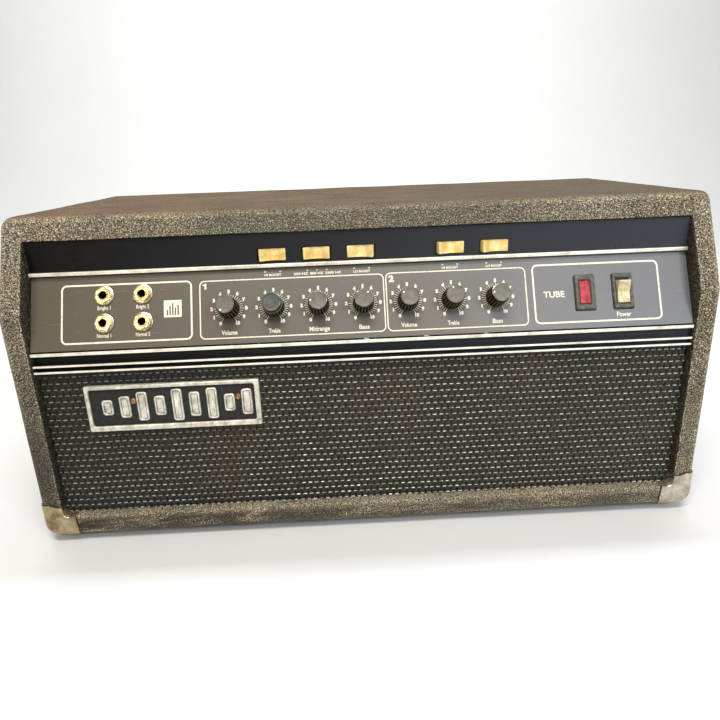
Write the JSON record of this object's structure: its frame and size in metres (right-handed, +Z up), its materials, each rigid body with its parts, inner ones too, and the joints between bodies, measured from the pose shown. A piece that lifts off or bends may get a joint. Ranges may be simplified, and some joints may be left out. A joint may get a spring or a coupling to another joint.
{
  "type": "bass guitar amplifier head",
  "caption": "Tube bass guitar amplifier head: dark vinyl-covered cabinet with a leaning grey control panel, fluted knobs, cream rocker switches and a woven grille.",
  "frame": {"origin": "on the surface the feet stand on, under the middle of the overall box", "axes": "+Z up, the front faces -Y, +X to the right seen from the front"},
  "size_m": [0.6466, 0.3083, 0.296],
  "materials": {
    "covering": "dark pebbled vinyl covering, worn to grey-brown on its high spots",
    "corner_metal": "nickel plating worn to a dull brassy tone",
    "rubber": "matt black rubber",
    "bare_wood": "bare plywood",
    "grille_cloth": "coarse charcoal basket weave with silver threads",
    "badge_cast": "cast metal, silver with a dark painted recess",
    "trim_metal": "bright strips with black grooves",
    "black_paint": "satin black paint",
    "panel_grey": "warm grey satin paint with cream lines",
    "panel_print": "cream screen print",
    "knob_black": "black moulded plastic",
    "knob_cap": "dull grey metal cap",
    "cream_plastic": "aged cream plastic",
    "red_lens": "translucent red lens",
    "nickel": "brassy nickel plating",
    "black_plastic": "black moulded plastic",
    "circuit_board": "brown phenolic board",
    "chassis_steel": "zinc plated steel",
    "transformer_black": "black painted transformer iron",
    "tube_glass": "clear glass with a silvery flash",
    "tube_inside": "grey plates and mica inside the glass",
    "screw_steel": "screw heads, slightly tarnished",
    "fabric_tag": "plain printed label"
  },
  "bodies": {
    "amplifier": {"badge": "badge_cast", "cabinet_bottom": "covering", "cabinet_left_side": "covering", "cabinet_right_side": "covering", "cabinet_top": "covering", "choke": "transformer_black", "control_board": "circuit_board", "control_panel": "panel_grey", "corner_front_left": "corner_metal", "corner_front_right": "corner_metal", "corner_rear_left": "corner_metal", "corner_rear_right": "corner_metal", "fan_frame": "black_plastic", "foot_front_left": "rubber", "foot_front_right": "rubber", "foot_rear_left": "rubber", "foot_rear_right": "rubber", "grille_board": "bare_wood", "grille_cloth": "grille_cloth", "handle_left": "rubber", "handle_right": "rubber", "input_jack_1": "nickel", "input_jack_2": "nickel", "input_jack_3": "nickel", "input_jack_4": "nickel", "lower_trim": "trim_metal", "mains_inlet": "black_plastic", "mains_transformer": "transformer_black", "output_transformer": "transformer_black", "pilot_bezel": "black_plastic", "pilot_lens": "red_lens", "power_amp_chassis": "chassis_steel", "power_bezel": "black_plastic", "power_tube_1": "tube_glass", "power_tube_2": "tube_glass", "power_tube_3": "tube_glass", "power_tube_4": "tube_glass", "power_tube_5": "tube_glass", "power_tube_6": "tube_glass", "preamp_chassis": "chassis_steel", "rear_guard": "black_paint", "rear_panel": "black_paint", "speaker_jack_1": "nickel", "speaker_jack_2": "nickel", "switch_band": "black_paint", "upper_trim": "trim_metal"},
    "knob_volume_1": {"knob_volume_1": "knob_black"},
    "knob_treble_1": {"knob_treble_1": "knob_black"},
    "knob_mid_1": {"knob_mid_1": "knob_black"},
    "knob_bass_1": {"knob_bass_1": "knob_black"},
    "knob_volume_2": {"knob_volume_2": "knob_black"},
    "knob_treble_2": {"knob_treble_2": "knob_black"},
    "knob_bass_2": {"knob_bass_2": "knob_black"},
    "rocker_high_1": {"rocker_high_1": "cream_plastic"},
    "rocker_mid_1": {"rocker_mid_1": "cream_plastic"},
    "rocker_low_1": {"rocker_low_1": "cream_plastic"},
    "rocker_high_2": {"rocker_high_2": "cream_plastic"},
    "rocker_low_2": {"rocker_low_2": "cream_plastic"},
    "power_rocker": {"power_rocker": "cream_plastic"},
    "fan_rotor": {"fan_rotor": "black_plastic"}
  },
  "joints": [
    {"name": "knob_volume_1_turn", "type": "hinge", "parent": "amplifier", "child": "knob_volume_1", "pos_m": [-0.11701, -0.13246, 0.21474], "axis": [0, 0.9026, -0.4305], "range_deg": [-5, 295]},
    {"name": "knob_treble_1_turn", "type": "hinge", "parent": "amplifier", "child": "knob_treble_1", "pos_m": [-0.07844, -0.13246, 0.21474], "axis": [0, 0.9026, -0.4305], "range_deg": [-150, 150]},
    {"name": "knob_mid_1_turn", "type": "hinge", "parent": "amplifier", "child": "knob_mid_1", "pos_m": [-0.03987, -0.13246, 0.21474], "axis": [0, 0.9026, -0.4305], "range_deg": [-60, 240]},
    {"name": "knob_bass_1_turn", "type": "hinge", "parent": "amplifier", "child": "knob_bass_1", "pos_m": [-0.0013, -0.13246, 0.21474], "axis": [0, 0.9026, -0.4305], "range_deg": [-188, 112]},
    {"name": "knob_volume_2_turn", "type": "hinge", "parent": "amplifier", "child": "knob_volume_2", "pos_m": [0.03727, -0.13246, 0.21474], "axis": [0, 0.9026, -0.4305], "range_deg": [-94, 206]},
    {"name": "knob_treble_2_turn", "type": "hinge", "parent": "amplifier", "child": "knob_treble_2", "pos_m": [0.07584, -0.13246, 0.21474], "axis": [0, 0.9026, -0.4305], "range_deg": [-133, 167]},
    {"name": "knob_bass_2_turn", "type": "hinge", "parent": "amplifier", "child": "knob_bass_2", "pos_m": [0.11441, -0.13246, 0.21474], "axis": [0, 0.9026, -0.4305], "range_deg": [-62, 238]},
    {"name": "rocker_high_1_tilt", "type": "hinge", "parent": "amplifier", "child": "rocker_high_1", "pos_m": [-0.07844, -0.11578, 0.2572], "axis": [0, 0, 1], "range_deg": [-20, 0]},
    {"name": "rocker_mid_1_tilt", "type": "hinge", "parent": "amplifier", "child": "rocker_mid_1", "pos_m": [-0.03987, -0.11578, 0.2572], "axis": [0, 0, 1], "range_deg": [-10, 10]},
    {"name": "rocker_low_1_tilt", "type": "hinge", "parent": "amplifier", "child": "rocker_low_1", "pos_m": [-0.0013, -0.11578, 0.2572], "axis": [0, 0, 1], "range_deg": [0, 20]},
    {"name": "rocker_high_2_tilt", "type": "hinge", "parent": "amplifier", "child": "rocker_high_2", "pos_m": [0.07584, -0.11578, 0.2572], "axis": [0, 0, 1], "range_deg": [-20, 0]},
    {"name": "rocker_low_2_tilt", "type": "hinge", "parent": "amplifier", "child": "rocker_low_2", "pos_m": [0.11441, -0.11578, 0.2572], "axis": [0, 0, 1], "range_deg": [-20, 0]},
    {"name": "power_rocker_tilt", "type": "hinge", "parent": "amplifier", "child": "power_rocker", "pos_m": [0.2257, -0.13017, 0.21443], "axis": [1, 0, 0], "range_deg": [-24, 0]},
    {"name": "fan_spin", "type": "hinge", "parent": "amplifier", "child": "fan_rotor", "pos_m": [0.214, 0.12322, 0.12], "axis": [0, 1, 0], "continuous": true}
  ]
}
